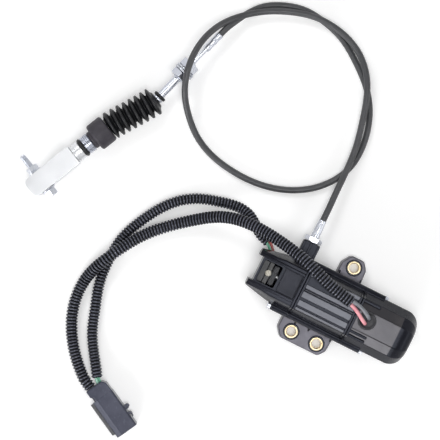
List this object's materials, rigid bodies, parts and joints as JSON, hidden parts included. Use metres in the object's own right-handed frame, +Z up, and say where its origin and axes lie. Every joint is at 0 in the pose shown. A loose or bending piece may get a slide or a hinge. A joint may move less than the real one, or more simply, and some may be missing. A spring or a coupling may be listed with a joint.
{
  "type": "throttle motor",
  "caption": "Geared electric throttle motor with bolt-down lugs, a coiled push-pull cable ending in a bellows and clevis yoke, and a sleeved wiring harness with a rectangular connector.",
  "frame": {"origin": "centre of the housing's plan, on the plane of the mounting lugs", "axes": "+X along the motor's axis towards the motor cap, +Y towards the cable outlet, +Z up from the lugs"},
  "size_m": [0.4041, 0.4453, 0.0639],
  "materials": {
    "black_plastic": "satin moulded",
    "slate_plastic": "fine moulded",
    "grey_plastic": "moulded",
    "black_rubber": "matt",
    "conduit_jacket": "satin",
    "zinc": "zinc plated",
    "steel": "machined",
    "brass": "machined",
    "copper": "machined",
    "magnet": "sintered",
    "nylon": "moulded",
    "pink_lead": "extruded",
    "grey_lead": "extruded",
    "green_lead": "extruded",
    "red_lead": "extruded"
  },
  "bodies": {
    "housing": {"drive_head_housing": "black_plastic", "drum_cover": "black_plastic", "gear_housing": "black_plastic", "motor_cap": "black_plastic", "mounting_bush_1": "brass", "mounting_bush_2": "brass", "mounting_bush_3": "brass", "head_screw_1": "zinc", "head_screw_2": "zinc", "cap_screw_1": "zinc", "cap_screw_2": "zinc", "lead_grommet": "black_rubber", "motor_can": "steel", "motor_end_plate": "grey_plastic", "magnet_1": "magnet", "magnet_2": "magnet", "brush_card": "grey_plastic", "ring_gear": "nylon", "position_sensor": "grey_plastic", "sensor_clamp": "steel", "sensor_screw": "zinc", "outlet_nut": "zinc", "outlet_ferrule": "zinc", "drum_core": "steel", "cable_conduit": "conduit_jacket", "crimp_ferrule": "zinc", "threaded_hub": "zinc", "lock_nut_1": "zinc", "lock_nut_2": "zinc", "lock_washer_1": "zinc", "lock_washer_2": "zinc", "support_tube": "zinc", "dust_seal": "black_rubber", "bellows_clamp_ring": "zinc", "bellows": "black_rubber", "inner_wire": "steel", "motor_harness_tube": "black_plastic", "sensor_harness_tube": "black_plastic", "motor_lead_pink": "pink_lead", "motor_lead_grey": "grey_lead", "sensor_lead_green": "green_lead", "sensor_lead_red": "red_lead", "connector_lead": "green_lead", "connector_housing": "slate_plastic", "terminal_block": "grey_plastic"},
    "output": {"output_shaft": "steel", "cable_drum": "nylon"},
    "rotor": {"rotor_shaft": "steel", "armature": "steel", "commutator": "copper"},
    "planet_1": {"planet_gear_1": "steel"},
    "planet_2": {"planet_gear_2": "steel"},
    "planet_3": {"planet_gear_3": "steel"},
    "cable_end": {"bellows_cap": "black_rubber", "end_ring": "zinc", "end_o_ring": "black_rubber", "end_collar": "zinc", "yoke": "zinc", "yoke_bolt": "zinc", "yoke_nut": "zinc"}
  },
  "joints": [
    {"name": "rotor_turn", "type": "hinge", "parent": "housing", "child": "rotor", "pos_m": [0.05, 0, 0.028], "axis": [-1, 0, 0], "range_deg": [0, 613.8]},
    {"name": "drum_turn", "type": "hinge", "parent": "housing", "child": "output", "pos_m": [-0.0409, 0, 0.028], "axis": [-1, 0, 0], "range_deg": [0, 102.4]},
    {"name": "planet_1_spin", "type": "hinge", "parent": "output", "child": "planet_1", "pos_m": [-0.019, 0, 0.0172], "axis": [-1, 0, 0], "range_deg": [-256, 0]},
    {"name": "planet_2_spin", "type": "hinge", "parent": "output", "child": "planet_2", "pos_m": [-0.019, 0.00935, 0.0334], "axis": [-1, 0, 0], "range_deg": [-256, 0]},
    {"name": "planet_3_spin", "type": "hinge", "parent": "output", "child": "planet_3", "pos_m": [-0.019, -0.00935, 0.0334], "axis": [-1, 0, 0], "range_deg": [-256, 0]},
    {"name": "cable_end_slide", "type": "slide", "parent": "housing", "child": "cable_end", "axis": [0.4195, 0.9078, 0], "range_m": [0, 0.0251], "deforming": ["bellows", "inner_wire"]}
  ],
  "couplings": [
    {"joint": "drum_turn", "follows": "rotor_turn", "ratio": 0.16667},
    {"joint": "planet_1_spin", "follows": "rotor_turn", "ratio": -0.41667},
    {"joint": "planet_2_spin", "follows": "rotor_turn", "ratio": -0.41667},
    {"joint": "planet_3_spin", "follows": "rotor_turn", "ratio": -0.41667},
    {"joint": "cable_end_slide", "follows": "rotor_turn", "m_per_rad": 0.0023333}
  ]
}
